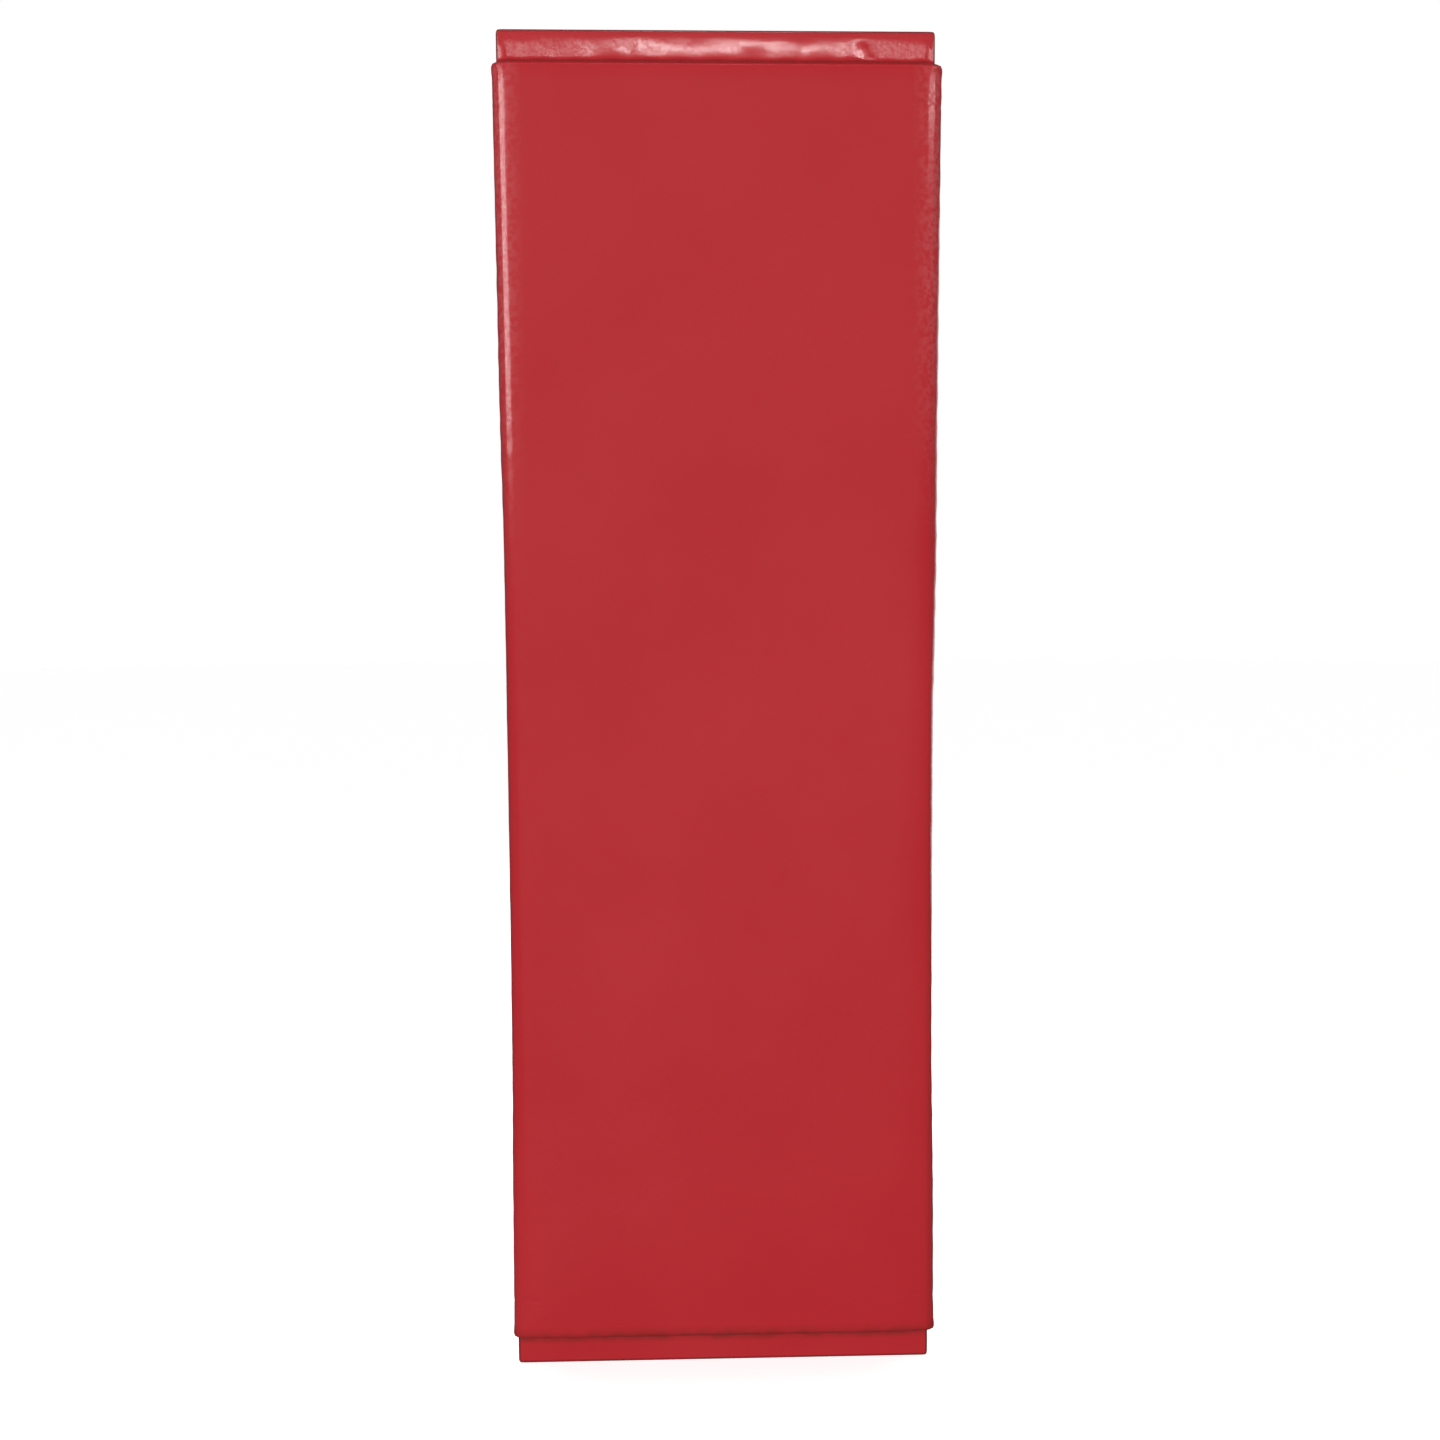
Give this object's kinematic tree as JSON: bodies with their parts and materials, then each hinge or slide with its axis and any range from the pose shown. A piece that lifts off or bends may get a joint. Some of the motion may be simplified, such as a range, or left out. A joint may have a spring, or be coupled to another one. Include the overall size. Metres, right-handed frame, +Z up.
{
  "type": "padded wall panel",
  "caption": "Upright padded wall panel: a foam slab on a strand board, wrapped in one stapled vinyl sheet, with a bare screwing lip at the top and bottom.",
  "frame": {"origin": "middle of the panel's back, in the plane of the sheet's back flaps, which is the wall", "axes": "+Z up, -Y out of the padded front into the room, +Y into the wall, +X to the right as seen from the room"},
  "size_m": [0.6116, 0.0637, 1.9192],
  "materials": {
    "red_vinyl": "embossed vinyl-coated fabric, semi-gloss",
    "strand_board": "oriented strand board, unsanded",
    "pad_foam": "open-cell polyurethane foam",
    "staple_steel": "galvanised wire"
  },
  "bodies": {
    "root": {"backer_board": "strand_board", "foam_core": "pad_foam", "vinyl_cover": "red_vinyl", "back_staples": "staple_steel", "crease_staples": "staple_steel"}
  },
  "joints": []
}
